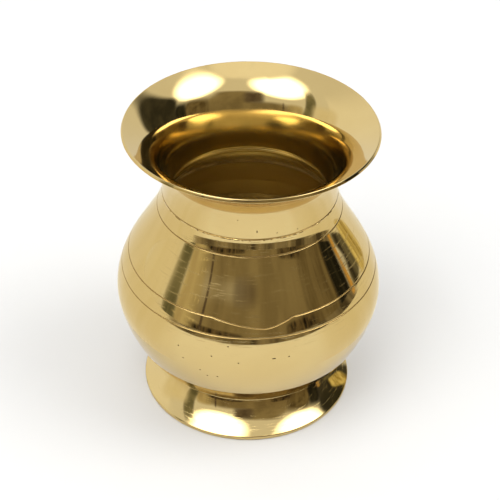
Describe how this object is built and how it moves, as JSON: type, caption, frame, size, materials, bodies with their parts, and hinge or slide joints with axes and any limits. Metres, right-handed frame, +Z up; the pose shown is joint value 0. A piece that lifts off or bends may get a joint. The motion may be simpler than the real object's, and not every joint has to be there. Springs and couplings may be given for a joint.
{
  "type": "lota",
  "caption": "Round brass water pot with a flared mouth, narrow neck, engraved rings on its belly and a flared hollow foot, made of turned pieces brazed together.",
  "frame": {"origin": "centre of the foot's resting face, on the vessel's axis", "axes": "+Z up along the vessel's axis, out of its mouth; +X and +Y are free, because the vessel is round"},
  "size_m": [0.0904, 0.0904, 0.1046],
  "materials": {
    "polished_brass": "lathe-turned and polished bright, with a few casting pits",
    "spelter": "dull brazing spelter, as run"
  },
  "bodies": {
    "root": {"mouth_collar": "polished_brass", "shoulder": "polished_brass", "bowl": "polished_brass", "foot": "polished_brass", "neck_braze": "spelter", "belly_braze": "spelter", "foot_braze": "spelter"}
  },
  "joints": []
}
